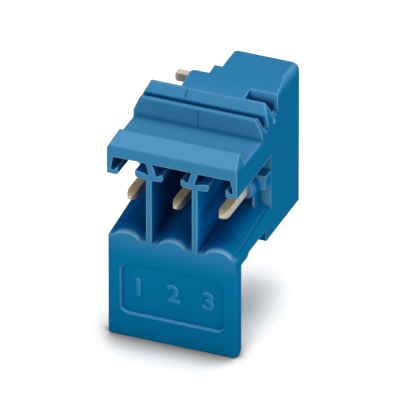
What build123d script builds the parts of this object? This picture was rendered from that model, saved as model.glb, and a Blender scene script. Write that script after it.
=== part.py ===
from build123d import *
import os

os.makedirs("parts", exist_ok=True)

# Contact row, measured from the middle contact
pitch = 3.5
end_margin = 1.465
width = 2 * pitch + 2 * end_margin
half_width = width / 2

# How far cutting shapes reach past the moulding, and how closely edges are picked
overcut = 0.8
near = 0.01

# Whole header, front panel to back face and panel edge to block top
depth = 12.06
height = 17.8
front = -depth / 2
back = depth / 2

# Front panel with its shallow marking recess
panel_thickness = 0.9
panel_height = 8.05
panel_toe_chamfer = 0.38
panel_corner_radius = 0.25
panel_edge_radius = 0.3
wall_edge_radius = 0.12
roof_side_radius = 0.24
floor_side_radius = 0.14
recess_width = 7.88
recess_low = 1.9
recess_high = 6.1
recess_depth = 0.3
recess_chamfer = 0.55
recess_radius = 0.53

# Chamber floor, rising from the panel to the back wall
floor_thickness = 0.47
floor_under = panel_height - floor_thickness
floor_back_rise = 0.8
neck_length = 1.1
neck_run_out = 0.4
neck_drop = 0.28
chamber_length = 6.62
bump_width = 2.15
bump_height = 0.52
bump_root = 0.2
bump_overrun = 0.25

# Roof with its front lip and two cross ridges, hung below the block top
ridge_below_block = 0.48
rear_ridge_top = height - ridge_below_block
rear_slope_drop = 0.62
rear_ridge_shoulder = rear_ridge_top - rear_slope_drop
groove_depth = 1.42
groove_floor = rear_ridge_top - groove_depth
ridge_step = 0.52
front_ridge_top = rear_ridge_top - ridge_step
roof_below_ridge = 2.07
roof_top = rear_ridge_top - roof_below_ridge
roof_thickness = 0.65
roof_under = roof_top - roof_thickness
lip_rise = 0.8
lip_top = roof_top + lip_rise
lip_nose_rise = 0.17
lip_nose_height = roof_top + lip_nose_rise
lip_nose_radius = 0.18
lip_back = 1.5
lip_land = 0.1
front_ridge_face = 4.95
front_ridge_land = 0.45
rear_ridge_face = 5.95
rear_ridge_land = 0.16
soft_edge = 0.12
lip_bevel_lift = 0.03
lip_bevel_start = roof_top + lip_bevel_lift
lip_bevel_rise = 2.13
front_bevel_lift = 0.45
front_bevel_start = roof_top + front_bevel_lift
rear_bevel_lift = 0.55
rear_bevel_start = roof_top + rear_bevel_lift
ridge_bevel_rise = 2.3
front_end_bulge = 0.21
front_bulge_lift = 0.85
front_end_bulge_height = roof_top + front_bulge_lift
front_end_inset = 0.62
rear_end_bulge = 0.2
rear_bulge_lift = 0.9
rear_end_bulge_height = groove_floor + rear_bulge_lift
rear_end_inset = 0.6
exit_run = 0.24
exit_drop = 0.3

# Partitions between the chambers with their cross flanges and slanted struts
partition_thickness = 0.42
flange_below_roof = 0.95
flange_top = roof_under - flange_below_roof
flange_thickness = 0.4
flange_low = flange_top - flange_thickness
flange_reach = 1.06
flange_low_rise = 0.1
flange_rim_rise = 0.2
flange_rim = 0.16
flange_low_radius = 0.2
strut_width_top = 0.48
strut_width_foot = 0.52
strut_foot_shift = 0.29

# Hooks under both ends of the roof
hook_root = 0.48
hook_neck = 0.29
hook_reach = 0.84
hook_drop = 1.4
hook_low = roof_under - hook_drop
hook_low_radius = 0.12
hook_valley = 0.5
hook_valley_rise = 0.3
hook_valley_height = hook_low + hook_valley_rise
hook_neck_rise = 0.4
hook_neck_height = hook_low + hook_neck_rise
hook_tip_rise = 0.58
hook_tip_height = hook_low + hook_tip_rise
hook_tip_land = 0.1
hook_tail = 0.3

# Contacts, with their pins a little below the middle of the chamber
pin_below_middle = 0.245
pin_height = (panel_height + roof_under) / 2 - pin_below_middle
pin_width = 0.7
pin_thickness = 0.68
pin_tip = 0.6
pin_shoulder = 6.9
pin_nose_length = 0.85
pin_nose_width = 0.26
pin_nose_thickness = 0.2
wire_width = 0.65
wire_thickness = 0.62
wire_bend = 0.42
wire_start = 6.2
wire_turn = 7.35
tail_from_back = 1.46
tail_line = depth - tail_from_back
tail_cross_x = 1.54
tail_tip_x = -4.045
tail_tip_radius = 0.28
tail_above_pin = 4.62
tail_high = pin_height + tail_above_pin
tail_middle = tail_high - pitch
tail_low = tail_middle - pitch

# Back wall, bosses and ribs behind the contacts
wall_back = 8.7
boss_radius = 0.9
boss_face = 4.8
boss_rim_chamfer = 0.17
rib_face = 5.6
rib_drop = 0.18
rib_rise = 0.87
rib_low = pin_height - rib_drop
rib_top = pin_height + rib_rise
rib_edge_radius = 0.15
rib_flare = 0.32
web_set = 0.46
web_thickness = 0.17

# Rear block that carries the solder tails and stands on the circuit board
block_face = 6.75
block_below_floor = 1.16
block_under = floor_under - block_below_floor
block_slope_length = 3.25
block_toe_face = 5.6
block_toe_radius = 0.5
block_top_radius = 0.68
block_low_radius = 0.3
block_corner_radius = 0.3
ledge_x = -2.025
seat_x = -0.665
tail_face_x = -0.04
seat_from_back = 2.42
seat_back = depth - seat_from_back
pocket_side = 2.8
pocket_back = 7.7
pocket_depth = 1.48
pocket_floor = height - pocket_depth
pocket_rim_radius = 0.4
block_slope = (height - rear_ridge_top) / block_slope_length
pocket_rim_height = rear_ridge_top + block_slope * (pocket_back + pocket_rim_radius - block_face)

contact_left_x = -pitch
contact_middle_x = 0
contact_right_x = pitch


def corner(sketch, across, up):
    """Vertex of a sketch that lies nearest to one place."""
    return sketch.vertices().sort_by_distance((across, up, 0))[0]


def nose_outline(middle, half_size, tip_half):
    """Long outline of a pin from shoulder to blunt tip, its nose narrowing on two arcs."""
    tip = front + pin_tip
    nose_start = tip + pin_nose_length
    with BuildSketch() as outline:
        with BuildLine():
            Polyline(
                (middle - half_size, nose_start),
                (middle - half_size, front + pin_shoulder),
                (middle + half_size, front + pin_shoulder),
                (middle + half_size, nose_start),
            )
            TangentArc(
                (middle + half_size, nose_start),
                (middle + tip_half, tip),
                tangent=(0, -1),
            )
            Line((middle + tip_half, tip), (middle - tip_half, tip))
            TangentArc(
                (middle - half_size, nose_start),
                (middle - tip_half, tip),
                tangent=(0, -1),
            )
        make_face()
    return outline.sketch


def mating_pin(across):
    """Flat-sided pin that lies in one chamber, narrowed at its nose from all four sides."""
    with BuildPart() as body:
        with BuildSketch(Plane.XY.offset(pin_height - pin_thickness / 2)):
            add(nose_outline(across, pin_width / 2, pin_nose_width / 2))
        extrude(amount=pin_thickness)
        # Side view: sketch x runs up and sketch y runs back along the pin
        with BuildSketch(Plane((across - pin_width, 0, 0), x_dir=(0, 0, -1), z_dir=(1, 0, 0))):
            add(nose_outline(-pin_height, pin_thickness / 2, pin_nose_thickness / 2))
        extrude(amount=2 * pin_width, mode=Mode.INTERSECT)
    return body.part


def solder_wire(path):
    """Bent square wire swept along its path, with a rounded end at the board side."""
    with BuildPart() as body:
        with BuildSketch(Plane(path @ 0, x_dir=(1, 0, 0), z_dir=(0, 1, 0))):
            Rectangle(wire_width, wire_thickness)
        sweep(path=path)
        fillet(body.faces().sort_by(Axis.X)[0].edges(), tail_tip_radius)
    return body.part


with BuildPart() as contact_left:
    # Down behind the chamber, across, then out to the lowest tail
    with BuildLine() as left_run:
        FilletPolyline(
            (contact_left_x, front + wire_start, pin_height),
            (contact_left_x, front + wire_turn, pin_height),
            (contact_left_x, front + wire_turn, tail_low),
            (tail_cross_x, front + wire_turn, tail_low),
            (tail_cross_x, front + tail_line, tail_low),
            (tail_tip_x, front + tail_line, tail_low),
            radius=wire_bend,
        )
    add(solder_wire(left_run.line))
    add(mating_pin(contact_left_x))

with BuildPart() as contact_middle:
    # Up a little, across, then out to the middle tail
    with BuildLine() as middle_run:
        FilletPolyline(
            (contact_middle_x, front + wire_start, pin_height),
            (contact_middle_x, front + wire_turn, pin_height),
            (contact_middle_x, front + wire_turn, tail_middle),
            (tail_cross_x, front + wire_turn, tail_middle),
            (tail_cross_x, front + tail_line, tail_middle),
            (tail_tip_x, front + tail_line, tail_middle),
            radius=wire_bend,
        )
    add(solder_wire(middle_run.line))
    add(mating_pin(contact_middle_x))

with BuildPart() as contact_right:
    # Straight back, up, then out to the highest tail
    with BuildLine() as right_run:
        FilletPolyline(
            (contact_right_x, front + wire_start, pin_height),
            (contact_right_x, front + tail_line, pin_height),
            (contact_right_x, front + tail_line, tail_high),
            (tail_tip_x, front + tail_line, tail_high),
            radius=wire_bend,
        )
    add(solder_wire(right_run.line))
    add(mating_pin(contact_right_x))

with BuildPart() as housing:
    # Panel, floor, back wall and roof share one side profile
    with BuildSketch(Plane.YZ.offset(-half_width)) as side_profile:
        with BuildLine():
            Polyline(
                (front, 0),
                (front + panel_thickness - panel_toe_chamfer, 0),
                (front + panel_thickness, panel_toe_chamfer),
                (front + panel_thickness, floor_under - neck_drop),
                (front + panel_thickness + neck_length, floor_under - neck_drop),
                (front + panel_thickness + neck_length + neck_run_out, floor_under),
                (front + block_toe_face, floor_under),
                (front + block_toe_face, block_under),
                (front + wall_back, block_under),
                (front + wall_back, groove_floor),
                (front + block_face, groove_floor),
                (front + block_face, rear_ridge_top),
                (front + block_face - rear_ridge_land, rear_ridge_top),
                (front + rear_ridge_face, rear_ridge_shoulder),
                (front + rear_ridge_face, groove_floor),
                (front + front_ridge_face + front_ridge_land, groove_floor),
                (front + front_ridge_face + front_ridge_land, front_ridge_top),
                (front + front_ridge_face, front_ridge_top),
                (front + front_ridge_face, roof_top),
                (front + lip_back, roof_top),
                (front + lip_back, lip_top),
                (front + lip_back - lip_land, lip_top),
                (front, lip_nose_height),
                (front, roof_under),
                (front + chamber_length, roof_under),
                (front + chamber_length, panel_height + floor_back_rise),
                (front, panel_height),
                close=True,
            )
        make_face()
        fillet(corner(side_profile, front + block_toe_face, block_under), block_toe_radius)
        fillet(corner(side_profile, front + rear_ridge_face, rear_ridge_shoulder), soft_edge)
        fillet(corner(side_profile, front + front_ridge_face, front_ridge_top), soft_edge)
        fillet(
            corner(side_profile, front + front_ridge_face + front_ridge_land, front_ridge_top),
            soft_edge,
        )
        fillet(corner(side_profile, front + rear_ridge_face, groove_floor), soft_edge)
        fillet(corner(side_profile, front, lip_nose_height), lip_nose_radius)
    extrude(amount=width)
    # Rounded upright edges of the panel and of the back wall, soft sides of the roof
    panel_uprights = (
        housing.edges()
        .filter_by(Axis.Z)
        .filter_by_position(Axis.Y, front - near, front + near)
        .filter_by_position(Axis.Z, 0, panel_height)
    )
    fillet(panel_uprights, panel_edge_radius)
    wall_uprights = (
        housing.edges()
        .filter_by(Axis.Z)
        .filter_by_position(Axis.Y, front + chamber_length - near, front + chamber_length + near)
    )
    fillet(wall_uprights, wall_edge_radius)
    roof_sides = (
        housing.edges()
        .filter_by(Axis.Y)
        .filter_by_position(Axis.Z, roof_top - near, roof_top + near)
    )
    fillet(roof_sides, roof_side_radius)
    floor_sides = (
        housing.edges()
        .filter_by_position(Axis.Y, front + panel_edge_radius, front + chamber_length)
        .filter_by_position(Axis.Z, panel_height, panel_height + floor_back_rise)
        .filter_by(lambda edge: abs(edge.center().X) > half_width - near)
    )
    fillet(floor_sides, floor_side_radius)
    # Rounded lower corners of the panel
    with BuildSketch(Plane.XZ.offset(-front)) as panel_corners:
        with BuildLine():
            Polyline(
                (half_width, panel_corner_radius),
                (half_width + overcut, panel_corner_radius),
                (half_width + overcut, -overcut),
                (half_width - panel_corner_radius, -overcut),
                (half_width - panel_corner_radius, 0),
            )
            RadiusArc(
                (half_width - panel_corner_radius, 0),
                (half_width, panel_corner_radius),
                -panel_corner_radius,
            )
        make_face()
        mirror(about=Plane.YZ)
    extrude(amount=-panel_thickness, mode=Mode.SUBTRACT)

    # Rear block with its stepped left side
    with BuildSketch(Plane.XY.offset(block_under)) as block_plan:
        with BuildLine():
            Polyline(
                (half_width, front + block_face),
                (half_width, back),
                (tail_face_x, back),
                (tail_face_x, front + seat_back),
                (seat_x, front + seat_back),
                (seat_x, front + wall_back),
                (ledge_x, front + wall_back),
                (ledge_x, front + block_face),
                close=True,
            )
        make_face()
        fillet(corner(block_plan, half_width, back), block_corner_radius)
        fillet(corner(block_plan, tail_face_x, back), block_corner_radius)
        fillet(corner(block_plan, ledge_x, front + wall_back), block_corner_radius)
    extrude(amount=height - block_under)
    # Round along the top right edge of the block
    with BuildSketch(Plane.XZ.offset(-back - overcut)) as top_round:
        with BuildLine():
            Polyline(
                (half_width - block_top_radius, height),
                (half_width - block_top_radius, height + overcut),
                (half_width + overcut, height + overcut),
                (half_width + overcut, height - block_top_radius),
                (half_width, height - block_top_radius),
            )
            RadiusArc(
                (half_width, height - block_top_radius),
                (half_width - block_top_radius, height),
                -block_top_radius,
            )
        make_face()
    extrude(amount=depth - block_face + overcut, mode=Mode.SUBTRACT)

    # Round along the lower right edge of the block
    with BuildSketch(Plane.XZ.offset(-back - overcut)) as low_round:
        with BuildLine():
            Polyline(
                (half_width - block_low_radius, block_under),
                (half_width - block_low_radius, block_under - overcut),
                (half_width + overcut, block_under - overcut),
                (half_width + overcut, block_under + block_low_radius),
                (half_width, block_under + block_low_radius),
            )
            RadiusArc(
                (half_width, block_under + block_low_radius),
                (half_width - block_low_radius, block_under),
                block_low_radius,
            )
        make_face()
    extrude(amount=depth - block_toe_face + 2 * overcut, mode=Mode.SUBTRACT)
    # Block top slopes down to meet the rear ridge
    with BuildSketch(Plane.YZ.offset(-half_width - overcut)) as top_slope:
        with BuildLine():
            Polyline(
                (front + block_face, rear_ridge_top),
                (front + block_face + block_slope_length, height),
                (front + block_face + block_slope_length, height + overcut),
                (front + block_face, height + overcut),
                close=True,
            )
        make_face()
    extrude(amount=width + 2 * overcut, mode=Mode.SUBTRACT)

    # Slanted ends of the lip and of the ridges
    with BuildSketch(Plane.XZ.offset(-front)) as lip_ends:
        with BuildLine():
            Polyline(
                (half_width, lip_bevel_start),
                (half_width - (height - lip_bevel_start) / lip_bevel_rise, height),
                (half_width + overcut, height),
                (half_width + overcut, lip_bevel_start),
                close=True,
            )
        make_face()
        mirror(about=Plane.YZ)
    extrude(amount=-lip_back, mode=Mode.SUBTRACT)
    with BuildSketch(Plane.XZ.offset(-front - front_ridge_face)) as front_left_end:
        with BuildLine():
            Polyline(
                (-half_width, front_bevel_start),
                (-half_width + (height - front_bevel_start) / ridge_bevel_rise, height),
                (-half_width - overcut, height),
                (-half_width - overcut, front_bevel_start),
                close=True,
            )
        make_face()
    extrude(amount=-front_ridge_land, mode=Mode.SUBTRACT)
    with BuildSketch(Plane.XZ.offset(-front - rear_ridge_face)) as rear_left_end:
        with BuildLine():
            Polyline(
                (-half_width, rear_bevel_start),
                (-half_width + (height - rear_bevel_start) / ridge_bevel_rise, height),
                (-half_width - overcut, height),
                (-half_width - overcut, rear_bevel_start),
                close=True,
            )
        make_face()
    extrude(amount=rear_ridge_face - block_face, mode=Mode.SUBTRACT)
    # Right ends of the ridges turn over in a curve
    with BuildSketch(Plane.XZ.offset(-front - front_ridge_face)) as front_ridge_end:
        with BuildLine():
            ThreePointArc(
                (half_width, roof_top),
                (half_width - front_end_bulge, front_end_bulge_height),
                (half_width - front_end_inset, front_ridge_top),
            )
            Polyline(
                (half_width - front_end_inset, front_ridge_top),
                (half_width - front_end_inset, height),
                (half_width + overcut, height),
                (half_width + overcut, roof_top),
                (half_width, roof_top),
            )
        make_face()
    extrude(amount=-front_ridge_land, mode=Mode.SUBTRACT)
    with BuildSketch(Plane.XZ.offset(-front - rear_ridge_face)) as rear_ridge_end:
        with BuildLine():
            ThreePointArc(
                (half_width, groove_floor),
                (half_width - rear_end_bulge, rear_end_bulge_height),
                (half_width - rear_end_inset, rear_ridge_top),
            )
            Polyline(
                (half_width - rear_end_inset, rear_ridge_top),
                (half_width - rear_end_inset, height),
                (half_width + overcut, height),
                (half_width + overcut, groove_floor),
                (half_width, groove_floor),
            )
        make_face()
    extrude(amount=rear_ridge_face - block_face, mode=Mode.SUBTRACT)

    # Sloping exits at both ends of the groove between the ridges
    with BuildSketch(Plane.XZ.offset(-front - front_ridge_face - front_ridge_land)) as groove_exits:
        with BuildLine():
            Polyline(
                (half_width - exit_run, groove_floor),
                (half_width + overcut, groove_floor),
                (half_width + overcut, groove_floor - exit_drop),
                (half_width, groove_floor - exit_drop),
                close=True,
            )
        make_face()
        mirror(about=Plane.YZ)
    extrude(
        amount=front_ridge_face + front_ridge_land - rear_ridge_face,
        mode=Mode.SUBTRACT,
    )

    # Pocket behind the rear ridge, open to the right and rounded over at its back
    with BuildSketch(Plane.YZ.offset(pocket_side)) as pocket:
        with BuildLine():
            Polyline(
                (front + pocket_back, pocket_rim_height - pocket_rim_radius),
                (front + pocket_back, pocket_floor),
                (front + block_face, pocket_floor),
                (front + block_face, height + overcut),
                (front + pocket_back + pocket_rim_radius, height + overcut),
                (front + pocket_back + pocket_rim_radius, pocket_rim_height),
            )
            RadiusArc(
                (front + pocket_back + pocket_rim_radius, pocket_rim_height),
                (front + pocket_back, pocket_rim_height - pocket_rim_radius),
                -pocket_rim_radius,
            )
        make_face()
    extrude(amount=half_width - pocket_side + overcut, mode=Mode.SUBTRACT)
    with BuildSketch(Plane.XZ.offset(-front - block_face)) as pocket_exit:
        with BuildLine():
            Polyline(
                (half_width - exit_run, pocket_floor),
                (half_width + overcut, pocket_floor),
                (half_width + overcut, pocket_floor - exit_drop),
                (half_width, pocket_floor - exit_drop),
                close=True,
            )
        make_face()
    extrude(amount=block_face - pocket_back, mode=Mode.SUBTRACT)

    # Hooks that close the plug guides under both roof ends
    with BuildSketch(Plane.XZ.offset(-front)) as hooks:
        with BuildLine():
            Polyline(
                (half_width, roof_under),
                (half_width - hook_root, roof_under),
                (half_width - hook_neck, hook_neck_height),
                (half_width - hook_valley, hook_valley_height),
                (half_width - hook_reach + hook_tip_land, hook_tip_height),
                (half_width - hook_reach, hook_tip_height),
                (half_width - hook_reach, hook_low),
                (half_width, hook_low),
                close=True,
            )
        make_face()
        fillet(corner(hooks, half_width - hook_reach, hook_low), hook_low_radius)
        mirror(about=Plane.YZ)
    extrude(amount=-chamber_length - hook_tail)

    # Partitions, cross flanges with raised rims, and struts
    with BuildSketch(Plane.XZ.offset(-front)) as partitions:
        with BuildLine():
            Polyline(
                (pitch / 2 + partition_thickness / 2, panel_height - bump_root),
                (pitch / 2 + partition_thickness / 2, flange_low),
                (pitch / 2 + flange_reach, flange_low + flange_low_rise),
                (pitch / 2 + flange_reach, flange_top + flange_rim_rise),
                (pitch / 2 + flange_reach - flange_rim, flange_top + flange_rim_rise),
                (pitch / 2 - strut_foot_shift + strut_width_foot / 2, flange_top),
                (pitch / 2 + strut_width_top / 2, roof_under),
                (pitch / 2 - strut_width_top / 2, roof_under),
                (pitch / 2 - strut_foot_shift - strut_width_foot / 2, flange_top),
                (pitch / 2 - flange_reach + flange_rim, flange_top + flange_rim_rise),
                (pitch / 2 - flange_reach, flange_top + flange_rim_rise),
                (pitch / 2 - flange_reach, flange_low + flange_low_rise),
                (pitch / 2 - partition_thickness / 2, flange_low),
                (pitch / 2 - partition_thickness / 2, panel_height - bump_root),
                close=True,
            )
        make_face()
        fillet(
            corner(partitions, pitch / 2 + flange_reach, flange_low + flange_low_rise),
            flange_low_radius,
        )
        fillet(
            corner(partitions, pitch / 2 - flange_reach, flange_low + flange_low_rise),
            flange_low_radius,
        )
        mirror(about=Plane.YZ)
    extrude(amount=-chamber_length)

    # Convex guide bumps along the sloping chamber floor, flush with the panel front
    slope = Vector(0, chamber_length, floor_back_rise).normalized()
    bump_start = Vector(0, front, panel_height) - slope * bump_overrun
    with BuildSketch(Plane(bump_start, x_dir=(1, 0, 0), z_dir=slope)) as bumps:
        for bump_x in (contact_left_x, contact_middle_x, contact_right_x):
            with BuildLine():
                Polyline(
                    (bump_x + bump_width / 2, 0),
                    (bump_x + bump_width / 2, bump_root),
                    (bump_x - bump_width / 2, bump_root),
                    (bump_x - bump_width / 2, 0),
                )
                ThreePointArc(
                    (bump_x - bump_width / 2, 0),
                    (bump_x, -bump_height),
                    (bump_x + bump_width / 2, 0),
                )
            make_face()
    extrude(amount=chamber_length + 2 * bump_overrun)
    with BuildSketch(Plane.XZ.offset(-front)) as bump_trim:
        with Locations((0, panel_height)):
            Rectangle(width + 2 * overcut, 2 * overcut)
    extrude(amount=panel_thickness, mode=Mode.SUBTRACT)

    # Round bosses where the pins leave the back wall
    with BuildSketch(Plane.XZ.offset(-front - boss_face)) as bosses:
        with Locations(
            (contact_left_x, pin_height),
            (contact_middle_x, pin_height),
            (contact_right_x, pin_height),
        ):
            Circle(boss_radius)
    extrude(amount=boss_face - chamber_length)
    boss_rims = (
        housing.edges()
        .filter_by(GeomType.CIRCLE)
        .filter_by_position(Axis.Y, front + boss_face - near, front + boss_face + near)
    )
    chamfer(boss_rims, boss_rim_chamfer)

    # Ribs from the outer bosses to the ends of the wall, with a web below each
    with BuildSketch(Plane.XY.offset(rib_low)) as ribs:
        with BuildLine():
            Polyline(
                (contact_right_x, front + rib_face),
                (half_width, front + rib_face),
                (half_width, front + chamber_length),
                (contact_right_x, front + chamber_length),
                close=True,
            )
        make_face()
        fillet(corner(ribs, half_width, front + rib_face), rib_edge_radius)
        mirror(about=Plane.YZ)
    extrude(amount=rib_top - rib_low)
    with BuildSketch(Plane.XZ.offset(-front - rib_face)) as webs:
        with BuildLine():
            Polyline(
                (contact_right_x, rib_low - rib_flare),
                (contact_right_x + web_set - web_thickness / 2, rib_low - rib_flare),
                (contact_right_x + web_set - web_thickness / 2, panel_height),
                (contact_right_x + web_set + web_thickness / 2, panel_height),
                (contact_right_x + web_set + web_thickness / 2, rib_low - rib_flare),
                (half_width - rib_edge_radius, rib_low),
                (contact_right_x, rib_low),
                close=True,
            )
        make_face()
        mirror(about=Plane.YZ)
    extrude(amount=rib_face - chamber_length)

    # Marking recess in the panel
    with BuildSketch(Plane.XZ.offset(-front)) as recess:
        with Locations((0, (recess_low + recess_high) / 2)):
            Rectangle(recess_width, recess_high - recess_low)
        chamfer(recess.vertices().group_by(Axis.Y)[-1], recess_chamfer)
        fillet(recess.vertices().group_by(Axis.Y)[0], recess_radius)
    extrude(amount=-recess_depth, mode=Mode.SUBTRACT)

    # Channels that hold the contacts
    add(contact_left.part, mode=Mode.SUBTRACT)
    add(contact_middle.part, mode=Mode.SUBTRACT)
    add(contact_right.part, mode=Mode.SUBTRACT)

housing.part.label = "housing"
contact_left.part.label = "contact_left"
contact_middle.part.label = "contact_middle"
contact_right.part.label = "contact_right"

export_step(housing.part, "parts/housing.step")
export_step(contact_left.part, "parts/contact_left.step")
export_step(contact_middle.part, "parts/contact_middle.step")
export_step(contact_right.part, "parts/contact_right.step")
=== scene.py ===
"""Looks of a right-angle pluggable header: moulded blue housing and three bent pins."""

from __future__ import annotations

import logging
import math
from dataclasses import dataclass, field
from enum import Enum
from typing import Any

import bmesh
import bpy
from mathutils import Matrix, Vector

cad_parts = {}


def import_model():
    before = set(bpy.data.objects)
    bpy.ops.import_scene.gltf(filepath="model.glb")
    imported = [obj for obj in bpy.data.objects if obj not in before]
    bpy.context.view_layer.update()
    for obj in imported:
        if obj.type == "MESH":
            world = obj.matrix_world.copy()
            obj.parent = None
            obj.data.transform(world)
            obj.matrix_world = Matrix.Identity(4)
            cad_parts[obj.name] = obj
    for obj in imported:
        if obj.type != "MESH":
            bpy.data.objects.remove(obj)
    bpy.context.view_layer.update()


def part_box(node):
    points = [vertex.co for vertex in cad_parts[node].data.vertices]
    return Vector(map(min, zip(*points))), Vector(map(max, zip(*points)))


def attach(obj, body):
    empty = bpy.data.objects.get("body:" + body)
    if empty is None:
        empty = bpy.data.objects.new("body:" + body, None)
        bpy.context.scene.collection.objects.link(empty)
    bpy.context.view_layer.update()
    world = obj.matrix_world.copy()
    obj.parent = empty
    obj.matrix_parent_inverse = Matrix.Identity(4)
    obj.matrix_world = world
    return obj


log = logging.getLogger("header")

MM = 0.001
WHITE = (1.0, 1.0, 1.0, 1.0)
SOFT_END_MM = 0.15
SHADER_SAMPLES = 8

Tree = bpy.types.NodeTree
Socket = bpy.types.NodeSocket


class PanelMarking(Enum):
    """What stands in the shallow recess of the front panel."""

    BARE = "bare"
    CONTACT_NUMBERS = "contact numbers"


def srgb(hex_code: str) -> tuple[float, float, float, float]:
    """Turn an sRGB hex code into a linear colour.

    Args:
        hex_code: Six hex digits, with or without a leading hash.

    Returns:
        Linear red, green and blue, and an alpha of 1.
    """
    digits = hex_code.lstrip("#")
    channels = [int(digits[i : i + 2], 16) / 255 for i in (0, 2, 4)]
    linear = [c / 12.92 if c <= 0.04045 else ((c + 0.055) / 1.055) ** 2.4 for c in channels]
    return (linear[0], linear[1], linear[2], 1.0)


def per_metre(size_mm: float) -> float:
    """Noise scale at which one feature is as wide as a real size.

    Args:
        size_mm: Width of one feature of the real surface, in millimetres.

    Returns:
        The scale for a texture that reads object coordinates in metres.
    """
    return 1.0 / (size_mm * MM)


def add_node(
    tree: Tree,
    kind: str,
    settings: dict[str, Any] | None = None,
    inputs: dict[str | int, Any] | None = None,
) -> bpy.types.Node:
    """Add one shader node with its settings, values and links.

    Args:
        tree: Node tree that receives the node.
        kind: Blender's node type name.
        settings: Attributes of the node, such as its operation.
        inputs: Socket name or number to a value, or to an output socket to link.

    Returns:
        The new node.
    """
    node = tree.nodes.new(kind)
    for name, value in (settings or {}).items():
        setattr(node, name, value)
    for name, value in (inputs or {}).items():
        if isinstance(value, Socket):
            tree.links.new(value, node.inputs[name])
        else:
            node.inputs[name].default_value = value
    return node


def new_material(name: str) -> tuple[bpy.types.Material, Tree]:
    """Make an empty node material.

    Args:
        name: Name of the finish.

    Returns:
        The material and its cleared node tree.
    """
    material = bpy.data.materials.new(name)
    material.use_nodes = True
    material.node_tree.nodes.clear()
    return material, material.node_tree


def spread(
    tree: Tree,
    value: Socket,
    source: tuple[float, float],
    target: tuple[Any, Any] = (0.0, 1.0),
    smooth: bool = False,
) -> Socket:
    """Stretch one range of a value onto another, held at both ends.

    Args:
        tree: Node tree that receives the node.
        value: Value to stretch.
        source: Ends of its range.
        target: Ends of the range it is stretched onto.
        smooth: Whether it eases in and out.

    Returns:
        The stretched value.
    """
    node = add_node(
        tree,
        "ShaderNodeMapRange",
        {"interpolation_type": "SMOOTHSTEP" if smooth else "LINEAR"},
        {
            "Value": value,
            "From Min": source[0],
            "From Max": source[1],
            "To Min": target[0],
            "To Max": target[1],
        },
    )
    return node.outputs["Result"]


def fade(
    tree: Tree,
    value: Socket,
    start_mm: float,
    stop_mm: float,
    target: tuple[float, float] = (0.0, 1.0),
) -> Socket:
    """Ease from one value to another along a coordinate.

    Args:
        tree: Node tree that receives the node.
        value: One object coordinate in metres.
        start_mm: Where the change starts, in millimetres.
        stop_mm: Where it is complete.
        target: Value at the start and value at the stop.

    Returns:
        The eased value.
    """
    return spread(tree, value, (start_mm * MM, stop_mm * MM), target, True)


def band(
    tree: Tree, value: Socket, low_mm: float, high_mm: float, soft_mm: float = SOFT_END_MM
) -> Socket:
    """Pick out one band of a coordinate, with soft ends.

    Args:
        tree: Node tree that receives the nodes.
        value: One object coordinate in metres.
        low_mm: Lower end of the band in millimetres.
        high_mm: Upper end of the band in millimetres.
        soft_mm: Length over which each end fades.

    Returns:
        1 inside the band and 0 outside.
    """
    above = fade(tree, value, low_mm, low_mm + soft_mm)
    return product(tree, above, fade(tree, value, high_mm, high_mm - soft_mm))


def combine(tree: Tree, operation: str, first: Socket, second: Socket | float = 0.0) -> Socket:
    """Combine two values by one sum.

    Args:
        tree: Node tree that receives the node.
        operation: Name of the sum, such as MAXIMUM.
        first: Left value.
        second: Right value, which a sum with one value leaves out.

    Returns:
        The result.
    """
    node = add_node(tree, "ShaderNodeMath", {"operation": operation}, {0: first, 1: second})
    return node.outputs["Value"]


def product(tree: Tree, first: Socket, *others: Socket | float) -> Socket:
    """Multiply values.

    Args:
        tree: Node tree that receives the nodes.
        first: First value.
        others: Values to multiply it by.

    Returns:
        The product of all of them.
    """
    result = first
    for other in others:
        result = combine(tree, "MULTIPLY", result, other)
    return result


def greatest(tree: Tree, first: Socket, *others: Socket) -> Socket:
    """Take the greatest of some values.

    Args:
        tree: Node tree that receives the nodes.
        first: First value.
        others: Values to compare it with.

    Returns:
        The greatest of all of them.
    """
    result = first
    for other in others:
        result = combine(tree, "MAXIMUM", result, other)
    return result


def blend(
    tree: Tree,
    share: Socket | float,
    first: Socket | tuple[float, ...],
    second: Socket | tuple[float, ...],
    way: str = "MIX",
) -> Socket:
    """Lay one colour over another.

    Args:
        tree: Node tree that receives the node.
        share: Share of the second colour, from 0 to 1.
        first: Colour underneath.
        second: Colour on top.
        way: Way of mixing, such as MULTIPLY.

    Returns:
        The mixed colour.
    """
    # A Mix node has its two colours in the sockets 6 and 7 and gives the result in socket 2
    node = add_node(
        tree,
        "ShaderNodeMix",
        {"data_type": "RGBA", "blend_type": way},
        {0: share, 6: first, 7: second},
    )
    return node.outputs[2]


def noise(
    tree: Tree, place: Socket, scale: float, detail: float, roughness: float = 0.5
) -> Socket:
    """Draw a cloudy pattern.

    Args:
        tree: Node tree that receives the node.
        place: Coordinates that the pattern reads.
        scale: Scale of its features.
        detail: Number of finer layers over the first.
        roughness: How strong the finer layers are.

    Returns:
        The pattern, from 0 to 1.
    """
    inputs = {"Vector": place, "Scale": scale, "Detail": detail, "Roughness": roughness}
    return add_node(tree, "ShaderNodeTexNoise", inputs=inputs).outputs["Fac"]


def rounded_normal(tree: Tree, radius_mm: float) -> Socket:
    """Get the normal of the surface as if its edges were rounded.

    Args:
        tree: Node tree that receives the node.
        radius_mm: Radius of the edges in millimetres.

    Returns:
        The normal.
    """
    settings = {"samples": SHADER_SAMPLES}
    node = add_node(tree, "ShaderNodeBevel", settings, {"Radius": radius_mm * MM})
    return node.outputs["Normal"]


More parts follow.
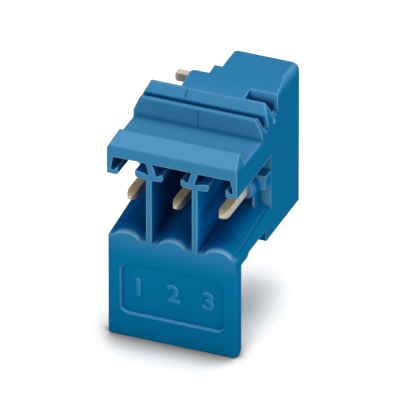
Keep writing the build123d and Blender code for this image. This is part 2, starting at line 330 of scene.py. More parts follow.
def open_sky(tree: Tree, reach_mm: float, own_shape_only: bool = False) -> Socket:
    """Measure how open the room over a spot is.

    Args:
        tree: Node tree that receives the node.
        reach_mm: How far it looks, in millimetres.
        own_shape_only: Whether other objects are left out.

    Returns:
        1 in the open, and less in corners.
    """
    settings = {"samples": SHADER_SAMPLES, "only_local": own_shape_only}
    node = add_node(tree, "ShaderNodeAmbientOcclusion", settings, {"Distance": reach_mm * MM})
    return node.outputs["AO"]


def grained_normal(
    tree: Tree, height: Socket, normal: Socket, strength: float, height_mm: float
) -> Socket:
    """Tilt a normal by the slopes of a fine pattern.

    Args:
        tree: Node tree that receives the node.
        height: Pattern, from 0 to 1.
        normal: Normal that is tilted.
        strength: Share of the effect.
        height_mm: Real height of the pattern in millimetres.

    Returns:
        The tilted normal.
    """
    inputs = {
        "Strength": strength,
        "Distance": height_mm * MM,
        "Height": height,
        "Normal": normal,
    }
    return add_node(tree, "ShaderNodeBump", inputs=inputs).outputs["Normal"]


def rays_that_see(tree: Tree) -> Socket:
    """Tell rays that look at a thing, directly or through gloss or glass, from light.

    Args:
        tree: Node tree of the room or of its floor.

    Returns:
        1 for camera, glossy and transmission rays, 0 for the light that falls on things.
    """
    path = add_node(tree, "ShaderNodeLightPath")
    kinds = ("Is Glossy Ray", "Is Transmission Ray", "Is Camera Ray")
    return greatest(tree, *(path.outputs[kind] for kind in kinds))


@dataclass(frozen=True)
class Axes:
    """The three parts of one vector in a node tree."""

    x: Socket
    y: Socket
    z: Socket

    @classmethod
    def split(cls, tree: Tree, vector: Socket) -> Axes:
        """Split a vector.

        Args:
            tree: Node tree that receives the node.
            vector: Coordinates in metres, or a normal.

        Returns:
            Its three parts.
        """
        parts = add_node(tree, "ShaderNodeSeparateXYZ", inputs={"Vector": vector}).outputs
        return cls(parts["X"], parts["Y"], parts["Z"])


@dataclass(frozen=True)
class MouldedPolyamide:
    """Blue polyamide 66, injection moulded in a lightly spark-eroded tool.

    It is opaque and nearly matt. Upright faces stay a deep saturated blue; painted shade
    makes the chambers, folds and pits a deeper blue, and a painted sheen and painted
    highlights turn slopes, rounded edges and tops paler. Depths count back from the
    panel's front face, heights up from its foot.
    """

    name: str = "polyamide_66_moulded"
    depth_mm: float = 12.06
    roof_mm: float = 14.9

    # The plastic itself
    base: str = "#026692"
    flow_tint: str = "#025F8A"
    flow_mm: float = 5.0
    flow_detail: float = 2.0
    flow_contrast: float = 0.45
    roughness: tuple[float, float] = (0.41, 0.53)
    specular: float = 0.001
    ior: float = 1.53
    grain_mm: float = 0.11
    grain_detail: float = 3.0
    grain_contrast: float = 0.6
    grain_height_mm: float = 0.0035
    grain_strength: float = 0.35
    edge_radius_mm: float = 0.2

    # Painted sheen on faces, which depends on how far they lean up or forward
    sheen_tone: str = "#5A8CAB"
    sheen_most: float = 0.7
    sheen_power: float = 2.2
    flat_lean: tuple[float, float] = (0.93, 0.985)
    flats_depths_mm: tuple[float, float] = (5.03, 9.03)
    sheen_on_flats: tuple[float, float] = (0.5, 0.27)
    front_lean: tuple[float, float] = (-0.5, -1.0)
    sheen_on_fronts: float = 0.28
    fronts_span_mm: tuple[float, float] = (6.2, 9.4)
    sheen_on_bosses: float = 0.5
    bosses_depths_mm: tuple[float, float] = (4.43, 4.63)
    roof_fade_mm: float = 0.5
    sheen_openness: tuple[float, float] = (0.35, 0.85)

    # Painted highlights on edges that stand proud
    edge_highlight_tone: str = "#6C9FBF"
    highlight_on_edges: float = 0.75
    edge_bend: tuple[float, float] = (0.995, 0.87)
    edge_reach_mm: float = 0.35
    edge_openness: tuple[float, float] = (0.75, 0.97)
    low_edge_share: float = 0.6
    low_edge_lean: tuple[float, float] = (0.05, 0.3)

    # Painted highlight on the lower and left walls of the panel's recess
    recess_highlight_tone: str = "#4FA3D2"
    recess_share: float = 0.72
    recess_lean: tuple[float, float] = (0.4, 0.7)
    recess_half_mm: float = 4.5
    recess_span_mm: tuple[float, float] = (0.5, 7.3)
    recess_depths_mm: tuple[float, float] = (0.5, 0.35)

    # Painted shade in folds and at the panel's foot
    fold_shade_tone: str = "#B4E6FA"
    fold_reach_mm: float = 0.45
    fold_openness: tuple[float, float] = (0.4, 0.95)
    foot_reach_mm: float = 6.0
    foot_shade: float = 0.83

    # Painted highlight on the rim over the panel, where plugs slide in
    rim_highlight_tone: str = "#6EA4C5"
    rim_depths_mm: tuple[float, float] = (0.6, 0.0)
    rim_span_mm: tuple[float, float] = (7.9, 9.2)
    rim_soft_mm: float = 0.4
    rim_lean: tuple[float, float] = (0.1, 0.85)

    # Painted shade in the plug chambers
    deep_chamber_shade: str = "#014781"
    mouth_chamber_shade: str = "#015C9A"
    mouth_depths_mm: tuple[float, float] = (0.0, 1.7)
    chamber_span_mm: tuple[float, float] = (7.8, 14.5)
    chamber_depths_mm: tuple[float, float] = (0.15, 6.63)
    chamber_half_mm: float = 4.9
    chamber_fade_mm: float = 1.9

    # Painted shade in the groove between the ridges and the pocket in the rear block
    groove_depths_mm: tuple[float, float] = (5.36, 5.99)
    groove_shade_mm: tuple[float, float] = (16.85, 16.65)
    pocket_depths_mm: tuple[float, float] = (6.6, 7.76)
    pocket_shade_mm: tuple[float, float] = (17.25, 16.65)
    pocket_side_mm: float = 2.7
    pits_span_mm: tuple[float, float] = (15.6, 15.7)
    pits_half_mm: float = 4.72
    pits_soft_mm: tuple[float, float] = (0.04, 0.05)
    pit_shade_share: float = 0.75
    pit_sheen_share: float = 0.15

    def depth_band(
        self, tree: Tree, where: Axes, depths_mm: tuple[float, float], soft_mm: float = SOFT_END_MM
    ) -> Socket:
        """Pick out what lies between two depths.

        Args:
            tree: Node tree of the material.
            where: Object coordinates in metres.
            depths_mm: Both depths, from the panel's front face.
            soft_mm: Length over which each end fades.

        Returns:
            1 between the depths and 0 outside.
        """
        near_mm, far_mm = (depth - self.depth_mm / 2 for depth in depths_mm)
        return band(tree, where.y, near_mm, far_mm, soft_mm)

    def depth_fade(
        self,
        tree: Tree,
        where: Axes,
        depths_mm: tuple[float, float],
        target: tuple[float, float] = (0.0, 1.0),
    ) -> Socket:
        """Ease from one value to another between two depths.

        Args:
            tree: Node tree of the material.
            where: Object coordinates in metres.
            depths_mm: Where the change starts and ends, from the panel's front face.
            target: Value at the start and value at the end.

        Returns:
            The eased value.
        """
        start_mm, stop_mm = (depth - self.depth_mm / 2 for depth in depths_mm)
        return fade(tree, where.y, start_mm, stop_mm, target)

    def painted_face_sheen(self, tree: Tree, where: Axes, facing: Axes) -> Socket:
        """Work out how much painted sheen lies on a face, from the way it faces and its place.

        Args:
            tree: Node tree of the material.
            where: Object coordinates in metres.
            facing: Normal with its edges rounded.

        Returns:
            The share of painted sheen, from 0 to 1.
        """
        up = spread(tree, facing.z, (0.0, 1.0))
        rising = product(tree, combine(tree, "POWER", up, self.sheen_power), self.sheen_most)
        on_flats = self.depth_fade(tree, where, self.flats_depths_mm, self.sheen_on_flats)
        flats = spread(tree, facing.z, self.flat_lean, (1.0, on_flats), True)
        on_slopes = product(tree, rising, flats, self.on_top(tree, where))
        # The bosses and ribs at the back of the chambers get a larger share of painted sheen, for
        # the light they catch from the open side
        far_back = self.depth_fade(tree, where, self.bosses_depths_mm)
        in_chamber = band(
            tree, where.z, self.chamber_span_mm[0], self.roof_mm - self.roof_fade_mm
        )
        forward_share = spread(
            tree,
            product(tree, far_back, in_chamber),
            (0.0, 1.0),
            (self.sheen_on_fronts, self.sheen_on_bosses),
        )
        forward = spread(tree, facing.y, self.front_lean, (0.0, forward_share), True)
        on_fronts = product(tree, forward, fade(tree, where.z, *self.fronts_span_mm))
        return greatest(tree, on_slopes, on_fronts)

    def on_top(self, tree: Tree, where: Axes) -> Socket:
        """Pick out what lies from the roof upwards, which is not the chambers, for the painted
        sheen and edge highlights.

        Args:
            tree: Node tree of the material.
            where: Object coordinates in metres.

        Returns:
            1 from the roof upwards and 0 below it.
        """
        return fade(tree, where.z, self.roof_mm - self.roof_fade_mm, self.roof_mm)

    def painted_edge_highlight(self, tree: Tree, where: Axes, facing: Axes, normal: Socket) -> Socket:
        """Pick out edges that stand proud for a painted highlight, and leave the corners that lie
        in a fold.

        Args:
            tree: Node tree of the material.
            where: Object coordinates in metres.
            facing: Normal with its edges rounded, in its three parts.
            normal: The same normal.

        Returns:
            The share of the painted highlight, from 0 to 1.
        """
        flat_normal = add_node(tree, "ShaderNodeNewGeometry").outputs["True Normal"]
        bend = add_node(
            tree, "ShaderNodeVectorMath", {"operation": "DOT_PRODUCT"}, {0: flat_normal, 1: normal}
        ).outputs["Value"]
        edge = spread(tree, bend, self.edge_bend, (0.0, self.highlight_on_edges), True)
        openness = open_sky(tree, self.edge_reach_mm, True)
        proud = spread(tree, openness, self.edge_openness, smooth=True)
        # Low on the panel only edges that lean up or towards the light side catch it
        leaning = greatest(tree, facing.z, facing.x)
        catching = spread(tree, leaning, self.low_edge_lean, (0.0, self.low_edge_share), True)
        high_up = fade(tree, where.z, *self.fronts_span_mm)
        held = greatest(tree, self.on_top(tree, where), high_up, catching)
        return product(tree, edge, proud, held)

    def recess_walls(self, tree: Tree, where: Axes) -> Socket:
        """Pick out the lower and left walls of the panel's recess, which get a painted highlight
        for the light they catch.

        Args:
            tree: Node tree of the material.
            where: Object coordinates in metres.

        Returns:
            The share of the painted highlight on those walls.
        """
        flat_normal = add_node(tree, "ShaderNodeNewGeometry").outputs["True Normal"]
        flat = Axes.split(tree, flat_normal)
        leaning = greatest(tree, flat.z, flat.x)
        wall = spread(tree, leaning, self.recess_lean, (0.0, self.recess_share), True)
        near_front = self.depth_fade(tree, where, self.recess_depths_mm)
        across = band(tree, where.x, -self.recess_half_mm, self.recess_half_mm)
        return product(tree, wall, near_front, across, band(tree, where.z, *self.recess_span_mm))

    def chamber_shade_share(self, tree: Tree, where: Axes) -> Socket:
        """Pick out the skin inside the plug chambers, which gets painted shade.

        Args:
            tree: Node tree of the material.
            where: Object coordinates in metres.

        Returns:
            1 in the chambers and 0 outside.
        """
        half = self.chamber_half_mm
        # The painted shade fades out towards the open right side, which gets light from the room,
        # so its floor stays greener
        painted_shade_share = fade(tree, where.x, half, half - self.chamber_fade_mm)
        return product(
            tree,
            band(tree, where.x, -half, half),
            painted_shade_share,
            self.depth_band(tree, where, self.chamber_depths_mm),
            band(tree, where.z, *self.chamber_span_mm),
        )

    def pit_share(self, tree: Tree, where: Axes) -> Socket:
        """Pick out the groove between the ridges and the pocket in the rear block, which get
        painted shade.

        Args:
            tree: Node tree of the material.
            where: Object coordinates in metres.

        Returns:
            1 at the bottom of the two pits and 0 outside.
        """
        soft_along_mm, soft_across_mm = self.pits_soft_mm
        pits = []
        # The sloping exits at the ends of both pits get no painted shade and stay pale
        for depths_mm, side_mm, shade_mm in (
            (self.groove_depths_mm, -self.pits_half_mm, self.groove_shade_mm),
            (self.pocket_depths_mm, self.pocket_side_mm, self.pocket_shade_mm),
        ):
            along = self.depth_band(tree, where, depths_mm, soft_along_mm)
            across = band(tree, where.x, side_mm, self.pits_half_mm, soft_across_mm)
            pits.append(product(tree, along, across, fade(tree, where.z, *shade_mm)))
        return product(tree, greatest(tree, *pits), fade(tree, where.z, *self.pits_span_mm))

    def rim_highlight_share(self, tree: Tree, where: Axes, facing: Axes) -> Socket:
        """Pick out the rim where plugs slide in over the panel, which gets a painted highlight.

        Args:
            tree: Node tree of the material.
            where: Object coordinates in metres.
            facing: Normal with its edges rounded.

        Returns:
            1 on the crest of the rim and 0 outside.
        """
        near_front = self.depth_fade(tree, where, self.rim_depths_mm)
        height = band(tree, where.z, *self.rim_span_mm, self.rim_soft_mm)
        tilted = spread(tree, facing.z, self.rim_lean, smooth=True)
        return product(tree, near_front, height, tilted)

    def blue_with_painted_shade(self, tree: Tree, place: Socket, where: Axes, pit: Socket) -> Socket:
        """Colour the plastic: the flow of the melt, and painted shade of deeper blue in the
        chambers and pits.

        Args:
            tree: Node tree of the material.
            place: Object coordinates in metres.
            where: The same coordinates in their three parts.
            pit: Share of the groove and the pocket.

        Returns:
            The colour without the painted sheen and highlights.
        """
        # Melt flow leaves slow, faint changes of tone across the faces
        scale = per_metre(self.flow_mm)
        flow = noise(tree, place, scale, self.flow_detail, self.flow_contrast)
        blue = blend(tree, flow, srgb(self.base), srgb(self.flow_tint))
        # Painted shade: the chambers are a deeper blue, lightest at their mouths
        inward = self.depth_fade(tree, where, self.mouth_depths_mm)
        painted_chamber_shade = blend(tree, inward, srgb(self.mouth_chamber_shade), srgb(self.deep_chamber_shade))
        pit_shade = product(tree, pit, self.pit_shade_share)
        painted_shade_share = greatest(tree, self.chamber_shade_share(tree, where), pit_shade)
        return blend(tree, painted_shade_share, blue, painted_chamber_shade)

    def blue_with_painted_light(self, tree: Tree, place: Socket, where: Axes, normal: Socket) -> Socket:
        """Lay painted sheen and painted highlights over the blue, and paint shade into the folds
        and the panel's foot.

        Args:
            tree: Node tree of the material.
            place: Object coordinates in metres.
            where: The same coordinates in their three parts.
            normal: Normal with its edges rounded.

        Returns:
            The finished colour.
        """
        facing = Axes.split(tree, normal)
        pit = self.pit_share(tree, where)
        # Folds and pits get little painted sheen and keep the deeper colour
        openness = open_sky(tree, self.fold_reach_mm, True)
        in_pit = spread(tree, pit, (0.0, 1.0), (1.0, self.pit_sheen_share))
        painted_sheen = product(
            tree,
            self.painted_face_sheen(tree, where, facing),
            in_pit,
            spread(tree, openness, self.sheen_openness),
        )
        colour = self.blue_with_painted_shade(tree, place, where, pit)
        # Painted highlights on proud edges
        edges = self.painted_edge_highlight(tree, where, facing, normal)
        # Painted highlight on the rim over the panel
        rim = self.rim_highlight_share(tree, where, facing)
        for share, tone in ((painted_sheen, self.sheen_tone), (edges, self.edge_highlight_tone), (rim, self.rim_highlight_tone)):
            colour = blend(tree, share, colour, srgb(tone))
        # Painted shade in the folds
        unfolded = spread(tree, openness, self.fold_openness)
        fold = blend(tree, unfolded, srgb(self.fold_shade_tone), WHITE)
        # Painted shade: the panel is darker towards its foot
        foot = fade(tree, where.z, 0.0, self.foot_reach_mm, (self.foot_shade, 1.0))
        for shade in (fold, foot):
            colour = blend(tree, 1.0, colour, shade, "MULTIPLY")
        # Painted highlight on the lower and left walls of the recess
        return blend(tree, self.recess_walls(tree, where), colour, srgb(self.recess_highlight_tone))

    def build(self) -> bpy.types.Material:
        """Make the material.

        Returns:
            The finished material.
        """
        material, tree = new_material(self.name)
        place = add_node(tree, "ShaderNodeTexCoord").outputs["Object"]
        # Moulded edges are never sharp, and their small radius carries the painted sheen and
        # highlights
        normal = rounded_normal(tree, self.edge_radius_mm)
        # The eroded grain of the tool, drawn a little coarser than real so that it shows
        scale = per_metre(self.grain_mm)
        grain = noise(tree, place, scale, self.grain_detail, self.grain_contrast)
        shader = add_node(
            tree,
            "ShaderNodeBsdfPrincipled",
            inputs={
                "Base Color": self.blue_with_painted_light(tree, place, Axes.split(tree, place), normal),
                "Roughness": spread(tree, grain, (0.0, 1.0), self.roughness),
                "Specular IOR Level": self.specular,
                "IOR": self.ior,
                "Normal": grained_normal(
                    tree, grain, normal, self.grain_strength, self.grain_height_mm
                ),
            },
        )
        add_node(tree, "ShaderNodeOutputMaterial", inputs={"Surface": shader.outputs["BSDF"]})
        return material


@dataclass(frozen=True)
class TinnedBrass:
    """Brass strip, stamped and then tin plated.

    The rolled faces keep a warm, dull brown-grey skin that scatters light; the
    sheared flanks and the burnished nose are colder.
    """

    name: str = "brass_stamped_tinned"
    # The pins' rolled tone is painted paler than the tails' grey, painted light that makes up for
    # the shade in the chambers
    rolled: str = "#CDBC93"
    sheared: str = "#A7A498"
    rolled_lean: tuple[float, float] = (0.45, 0.9)
    tail: str = "#B3A698"
    tail_span_mm: tuple[float, float] = (1.0, 2.0)
    metallic: float = 0.3
    roughness: tuple[float, float] = (0.36, 0.6)
    streak_mm: float = 0.05
    streak_length_mm: float = 1.4
    streak_detail: float = 3.0
    streak_height_mm: float = 0.004
    streak_strength: float = 0.4
    mottle_mm: float = 0.3
    mottle_detail: float = 4.0
    mottle_range: tuple[float, float] = (0.3, 0.7)
    mottle_tones: tuple[float, float] = (0.86, 1.1)
    edge_radius_mm: float = 0.16

    def metal_colour(self, tree: Tree, place: Socket) -> Socket:
        """Colour the rolled faces, the sheared flanks and the tails.

        Args:
            tree: Node tree of the material.
            place: Object coordinates in metres.

        Returns:
            The finished colour.
        """
        normal = add_node(tree, "ShaderNodeNewGeometry").outputs["Normal"]
        upward = combine(tree, "ABSOLUTE", Axes.split(tree, normal).z)
        rolled_face = spread(tree, upward, self.rolled_lean)
        colour = blend(tree, rolled_face, srgb(self.sheared), srgb(self.rolled))
        # The tails, which stand in full light, get a darker, greyer tone than the pins, whose
        # paler rolled tone is painted light
        start_mm, stop_mm = self.tail_span_mm
        on_tail = spread(tree, Axes.split(tree, place).y, (start_mm * MM, stop_mm * MM))
        skin = blend(tree, on_tail, colour, srgb(self.tail))
        mottle = noise(tree, place, per_metre(self.mottle_mm), self.mottle_detail)
        tones = spread(tree, mottle, self.mottle_range, self.mottle_tones)
        return blend(tree, 1.0, skin, tones, "MULTIPLY")

    def build(self) -> bpy.types.Material:
        """Make the material.

        Returns:
            The finished material.
        """
        material, tree = new_material(self.name)
        place = add_node(tree, "ShaderNodeTexCoord").outputs["Object"]
        # Drawing streaks run along the pin, far longer than they are wide
        across, along = per_metre(self.streak_mm), per_metre(self.streak_length_mm)
        stretched = add_node(
            tree, "ShaderNodeMapping", inputs={"Vector": place, "Scale": (across, along, across)}
        ).outputs["Vector"]
        streaks = noise(tree, stretched, 1.0, self.streak_detail)
        normal = rounded_normal(tree, self.edge_radius_mm)
        shader = add_node(
            tree,
            "ShaderNodeBsdfPrincipled",
            inputs={
                "Base Color": self.metal_colour(tree, place),
                "Metallic": self.metallic,
                "Roughness": spread(tree, streaks, (0.0, 1.0), self.roughness),
                "Normal": grained_normal(
                    tree, streaks, normal, self.streak_strength, self.streak_height_mm
                ),
            },
        )
        add_node(tree, "ShaderNodeOutputMaterial", inputs={"Surface": shader.outputs["BSDF"]})
        return material


@dataclass(frozen=True)
class StudioPaper:
    """Matt white paper sweep that keeps the soft shadow of the header."""

    name: str = "paper_matt_white"
    bounced: str = "#E0E0DF"
    seen: str = "#FFFFFF"
    lift: float = 0.1
    contact_shade: str = "#918980"
    contact_reach_mm: float = 3.6
    contact_openness: tuple[float, float] = (0.5, 0.985)
    sweep_span: tuple[float, float] = (0.03, 0.09)

    def near_surface(self, tree: Tree, looking: Socket) -> Socket:
        """Make the paper round the header, with the seam of shade where the panel stands.

        Args:
            tree: Node tree of the material.
            looking: 1 for rays that look, 0 for light.

        Returns:
            Its shader.
        """
        colour = blend(tree, looking, srgb(self.bounced), srgb(self.seen))
        openness = open_sky(tree, self.contact_reach_mm)
        in_open = spread(tree, openness, self.contact_openness, smooth=True)
        shaded = blend(tree, in_open, srgb(self.contact_shade), colour)
        paper = add_node(tree, "ShaderNodeBsdfDiffuse", inputs={"Color": shaded})
        strength = product(tree, looking, self.lift, in_open)
        glow = add_node(tree, "ShaderNodeEmission", inputs={"Color": WHITE, "Strength": strength})
        both = {0: paper.outputs["BSDF"], 1: glow.outputs["Emission"]}
        return add_node(tree, "ShaderNodeAddShader", inputs=both).outputs["Shader"]

    def build(self) -> bpy.types.Material:
        """Make the material.

        Returns:
            The finished material.
        """
        material, tree = new_material(self.name)
        looking = rays_that_see(tree)
        near = self.near_surface(tree, looking)
        # Away from the shadow the paper sweeps up into the white of the room
        place = add_node(tree, "ShaderNodeTexCoord").outputs["Object"]
        distance = add_node(tree, "ShaderNodeVectorMath", {"operation": "LENGTH"}, {0: place})
        swept = spread(tree, distance.outputs["Value"], self.sweep_span, smooth=True)
        white_light = {"Color": srgb(self.seen), "Strength": 1.0}
        white = add_node(tree, "ShaderNodeEmission", inputs=white_light).outputs["Emission"]
        layers = {0: product(tree, swept, looking), 1: near, 2: white}
        surface = add_node(tree, "ShaderNodeMixShader", inputs=layers).outputs["Shader"]
        add_node(tree, "ShaderNodeOutputMaterial", inputs={"Surface": surface})
        return material


def wear(mesh: bpy.types.Mesh, material: bpy.types.Material) -> None:
    """Give a mesh one material.

    Args:
        mesh: Mesh that receives it.
        material: Its finish.
    """
    mesh.materials.clear()
    mesh.materials.append(material)


def link_mesh(name: str, mesh: bpy.types.Mesh, material: bpy.types.Material) -> bpy.types.Object:
    """Put a mesh in the scene with one material.

    Args:
        name: Name of the new object.
        mesh: Its mesh, in the row frame.
        material: Its finish.

    Returns:
        The new object.
    """
    wear(mesh, material)
    thing = bpy.data.objects.new(name, mesh)
    bpy.context.scene.collection.objects.link(thing)
    return thing


def closed_mesh(name: str, shell: bmesh.types.BMesh) -> bpy.types.Mesh:
    """Turn a closed shell into a mesh with its faces outwards.

    Args:
        name: Name of the mesh.
        shell: The shell, which is freed.

    Returns:
        The new mesh.
    """
    bmesh.ops.recalc_face_normals(shell, faces=shell.faces)
    mesh = bpy.data.meshes.new(name)
    shell.to_mesh(mesh)
    shell.free()
    return mesh


@dataclass
class Housing:
    """The moulded body: dresses the CAD node and adds the fine marks of its mould."""

    # Numbers in the panel's recess
    marking: PanelMarking = PanelMarking.CONTACT_NUMBERS
    recess_depth: float = 0.3 * MM
    recess_middle_height: float = 4.0 * MM
    digit_step: float = 2.7 * MM
    digit_height: float = 1.35 * MM
    digit_share_of_type_size: float = 0.69
    digit_relief: float = 0.1 * MM
    digit_thickening: float = 0.03 * MM
    digit_bevel_share: float = 1 / 3
    digit_bevel_steps: int = 2

    # Witness of the mould's pin
    nub_radius: float = 0.21 * MM
    nub_proud: float = 0.13 * MM
    nub_sunk: float = 0.05 * MM
    nub_rings: int = 6
    nub_sides: int = 32
    nub_from_front: float = 6.98 * MM
    nub_height: float = 15.78 * MM

    # Marks where the mould's inserts met
    split_mark_width: float = 0.1 * MM
    split_mark_crown_share: float = 0.5
    split_mark_relief: float = 0.012 * MM
    split_mark_gap: float = 0.1 * MM
    roof_top: float = 15.25 * MM
    front_ridge_face: float = 4.95 * MM
    front_ridge_top: float = 16.8 * MM
    front_mark_across: float = -0.015 * MM
    rear_slope_foot: tuple[float, float] = (6.0 * MM, 16.76 * MM)
    rear_slope_head: tuple[float, float] = (6.55 * MM, 17.284 * MM)
    rear_mark_across: float = -1.465 * MM

    finish: MouldedPolyamide = field(default_factory=MouldedPolyamide)
    # The raised numbers' paler blue is a painted highlight for the light on their strokes
    digit_highlight_finish: MouldedPolyamide = field(
        default_factory=lambda: MouldedPolyamide(
            name="polyamide_66_digit_highlight",
            base="#1672A0",
            flow_tint="#126D9B",
        )
    )
    # The nub's paler blue is a painted highlight
    nub_highlight_finish: MouldedPolyamide = field(
        default_factory=lambda: MouldedPolyamide(
            name="polyamide_66_nub_highlight",
            base="#3F8AB4",
            flow_tint="#3A84AE",
        )
    )
    # The split marks' darker blue is painted shade of the hairline joint
    split_shade_finish: MouldedPolyamide = field(
        default_factory=lambda: MouldedPolyamide(
            name="polyamide_66_split_mark_shade",
            base="#025882",
            flow_tint="#02527A",
            sheen_tone="#3B7595",
            edge_highlight_tone="#3B7595",
        )
    )

    def dress(self) -> None:
        """Give the CAD node its finish."""
        material = self.finish.build()
        wear(bpy.data.objects["housing"].data, material)
        log.info("housing dressed in %s", material.name)

    def add_nub(self) -> None:
        """Add the low round witness of the mould's pin on the right, painted paler than its face
        as a painted highlight.
        """
        low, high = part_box("housing")
        middle = Vector((high.x, low.y + self.nub_from_front, self.nub_height))
        # Its outline, turned round its own axis: a sunk foot, then a quarter round to the crown
        outline = [(self.nub_radius, -self.nub_sunk)]
        for step in range(self.nub_rings):
            lean = math.pi / 2 * step / self.nub_rings
            outline.append((self.nub_radius * math.cos(lean), self.nub_proud * math.sin(lean)))
        turns = [math.tau * i / self.nub_sides for i in range(self.nub_sides)]
        shell = bmesh.new()
        rings = []
        for radius, proud in outline:
            spots = [
                Vector((proud, radius * math.cos(turn), radius * math.sin(turn))) for turn in turns
            ]
            rings.append([shell.verts.new(middle + spot) for spot in spots])
        crown = shell.verts.new(middle + Vector((self.nub_proud, 0.0, 0.0)))
        for i in range(self.nub_sides):
            j = (i + 1) % self.nub_sides
            for inner, outer in zip(rings, rings[1:]):
                shell.faces.new((inner[i], inner[j], outer[j], outer[i]))
            shell.faces.new((rings[-1][i], rings[-1][j], crown))
        shell.faces.new(reversed(rings[0]))
        mesh = closed_mesh("mould_pin_nub", shell)
        mesh.shade_smooth()
        nub = link_mesh("mould_pin_nub", mesh, self.nub_highlight_finish.build())
        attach(nub, "root")
        log.info("nub on the right side")

    def add_split_mark(
        self,
        name: str,
        across: float,
        low_end: tuple[float, float],
        high_end: tuple[float, float],
        material: bpy.types.Material,
    ) -> None:
        """Raise the hair-thin mark that a joint between mould inserts leaves.

        Args:
            name: Name of the new object.
            across: Its place across the header, in metres.
            low_end: Depth and height of its lower end, in metres.
            high_end: Depth and height of its upper end, in metres.
            material: Its finish.
        """
        start, stop = Vector((across, *low_end)), Vector((across, *high_end))
        along = (stop - start).normalized()
        relief = Vector((0.0, -along.z, along.y)) * self.split_mark_relief
        half = Vector((self.split_mark_width / 2, 0.0, 0.0))
        crown = half * self.split_mark_crown_share
        shell = bmesh.new()
        rings = []
        for end, inset in ((start, along), (stop, -along)):
            # The crown is narrower and shorter than the foot, so that all sides slope
            raised = end + inset * self.split_mark_relief + relief
            corners = (end - half - relief, raised - crown, raised + crown, end + half - relief)
            rings.append([shell.verts.new(corner) for corner in corners])
        first, last = rings
        for i in range(len(first)):
            j = (i + 1) % len(first)
            shell.faces.new((first[i], first[j], last[j], last[i]))
        shell.faces.new(first)
        shell.faces.new(reversed(last))
        mesh = closed_mesh(name, shell)
        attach(link_mesh(name, mesh, material), "root")
        log.info("%s raised", name)

    def add_split_marks(self) -> None:
        """Mark the faces of both roof ridges where the mould's inserts met."""
        low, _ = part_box("housing")
        material = self.split_shade_finish.build()
        front_face = low.y + self.front_ridge_face
        self.add_split_mark(
            "mould_split_mark_front",
            self.front_mark_across,
            (front_face, self.roof_top + self.split_mark_gap),
            (front_face, self.front_ridge_top - self.split_mark_gap),
            material,
        )
        self.add_split_mark(
            "mould_split_mark_rear",
            self.rear_mark_across,
            (low.y + self.rear_slope_foot[0], self.rear_slope_foot[1]),
            (low.y + self.rear_slope_head[0], self.rear_slope_head[1]),
            material,
        )

    def add_digits(self) -> None:
        """Raise a plain number for each contact, in the recess of the panel."""
        if self.marking is PanelMarking.BARE:
            return
        material = self.digit_highlight_finish.build()
        low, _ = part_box("housing")
        for place, digit in zip((-1, 0, 1), "123"):
            letter = bpy.data.curves.new(f"digit_{digit}", "FONT")
            letter.body = digit
            letter.size = self.digit_height / self.digit_share_of_type_size
            letter.align_x = "CENTER"
            letter.align_y = "CENTER"
            letter.extrude = self.digit_relief / 2
            letter.offset = self.digit_thickening
            letter.bevel_depth = self.digit_relief * self.digit_bevel_share
            letter.bevel_resolution = self.digit_bevel_steps
            source = bpy.data.objects.new(f"digit_source_{digit}", letter)
            bpy.context.scene.collection.objects.link(source)
            bpy.context.view_layer.update()
            mesh = bpy.data.meshes.new_from_object(
                source.evaluated_get(bpy.context.evaluated_depsgraph_get())
            )
            bpy.data.objects.remove(source)
            spot = (place * self.digit_step, low.y + self.recess_depth, self.recess_middle_height)
            upright = Matrix.Rotation(math.pi / 2, 4, "X")
            mesh.transform(Matrix.Translation(spot) @ upright)
            mesh.name = f"contact_number_{digit}"
            raised = link_mesh(f"contact_number_{digit}", mesh, material)
            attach(raised, "root")
        log.info("contact numbers raised in the recess")

    def build(self) -> None:
        """Dress the housing and add its fine details."""
        self.dress()
        self.add_nub()
        self.add_split_marks()
        self.add_digits()


@dataclass
class ContactSet:
    """The three bent pins, which keep their CAD shape."""

    nodes: tuple[str, ...] = ("contact_left", "contact_middle", "contact_right")
    finish: TinnedBrass = field(default_factory=TinnedBrass)

    def build(self) -> None:
        """Give each pin its finish."""
        material = self.finish.build()
        for name in self.nodes:
            wear(bpy.data.objects[name].data, material)
            log.info("%s dressed in %s", name, material.name)


@dataclass(frozen=True)
class Softbox:
    """One square softbox, aimed at the object."""

    name: str
    place: tuple[float, float, float]
    size: float
    power: float

    def hang(self, aim: Vector) -> None:
        """Hang the softbox in the studio.

        Args:
            aim: Point that it looks at, in metres.
        """
        lamp = bpy.data.lights.new(self.name, "AREA")
        lamp.shape = "SQUARE"
        lamp.size = self.size
        lamp.energy = self.power
        stand = bpy.data.objects.new(self.name, lamp)
        stand.location = Vector(self.place)
        stand.rotation_mode = "QUATERNION"
        stand.rotation_quaternion = (aim - stand.location).to_track_quat("-Z", "Y")
        bpy.context.scene.collection.objects.link(stand)


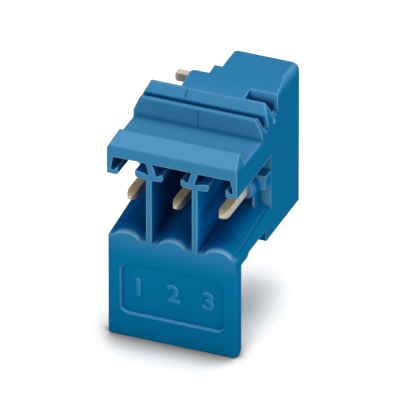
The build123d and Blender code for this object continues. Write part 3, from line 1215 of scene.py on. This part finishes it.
@dataclass
class Studio:
    """White sweep, softboxes and the camera at the photograph's viewing angle."""

    azimuth: float = 22.2
    elevation: float = 31.0
    distance: float = 1.0
    view_width: float = 29.04 * MM
    sensor: float = 36.0
    clip_span: tuple[float, float] = (0.01, 10.0)
    look_at: tuple[float, float, float] = (0.011 * MM, 0.0, 8.367 * MM)
    floor_size: float = 1.2
    room_light: float = 0.06
    softboxes: tuple[Softbox, ...] = (
        Softbox("overhead_softbox", (0.01, 0.0, 0.25), 0.16, 0.34),
        Softbox("rear_softbox", (0.0, 0.12, 0.25), 0.16, 0.34),
        Softbox("low_front_softbox", (-0.03, -0.29, 0.115), 0.15, 0.68),
        Softbox("right_softbox", (0.2, -0.15, 0.2), 0.15, 0.15),
        Softbox("low_right_softbox", (0.3, 0.02, 0.08), 0.15, 0.38),
    )
    paper: StudioPaper = field(default_factory=StudioPaper)

    def place_camera(self) -> None:
        """Set a long lens on the object's middle, nearly parallel as in the photograph."""
        turn, climb = math.radians(self.azimuth), math.radians(self.elevation)
        level = math.cos(climb)
        back = Vector((math.sin(turn) * level, -math.cos(turn) * level, math.sin(climb)))
        lens = bpy.data.cameras.new("long_lens")
        lens.sensor_width = self.sensor
        lens.lens = self.sensor * self.distance / self.view_width
        lens.clip_start, lens.clip_end = self.clip_span
        camera = bpy.data.objects.new("camera", lens)
        camera.location = Vector(self.look_at) + back * self.distance
        camera.rotation_mode = "QUATERNION"
        camera.rotation_quaternion = (-back).to_track_quat("-Z", "Y")
        bpy.context.scene.collection.objects.link(camera)
        bpy.context.scene.camera = camera

    def lay_floor(self) -> None:
        """Lay the paper that the header stands on."""
        half = self.floor_size / 2
        sheet = bmesh.new()
        corners = ((-half, -half), (half, -half), (half, half), (-half, half))
        sheet.faces.new([sheet.verts.new((x, y, 0.0)) for x, y in corners])
        mesh = bpy.data.meshes.new("paper_floor")
        sheet.to_mesh(mesh)
        sheet.free()
        floor = link_mesh("paper_floor", mesh, self.paper.build())

    def fill_world(self) -> None:
        """Give the room a little even light, and show it white."""
        world = bpy.data.worlds.new("white_room")
        world.use_nodes = True
        tree = world.node_tree
        tree.nodes.clear()
        strength = spread(tree, rays_that_see(tree), (0.0, 1.0), (self.room_light, 1.0))
        room = add_node(
            tree, "ShaderNodeBackground", inputs={"Color": WHITE, "Strength": strength}
        )
        add_node(tree, "ShaderNodeOutputWorld", inputs={"Surface": room.outputs["Background"]})
        bpy.context.scene.world = world

    def build(self) -> None:
        """Set up camera, floor, lamps and room."""
        self.place_camera()
        self.lay_floor()
        for softbox in self.softboxes:
            softbox.hang(Vector(self.look_at))
        self.fill_world()
        bpy.context.scene.view_settings.view_transform = "Standard"
        log.info("studio ready")


def main() -> None:
    """Load the frame, dress it piece by piece and set the studio."""
    logging.basicConfig(level=logging.INFO, format="%(name)s: %(message)s")
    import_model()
    Housing().build()
    ContactSet().build()
    Studio().build()


if __name__ == "__main__":
    main()
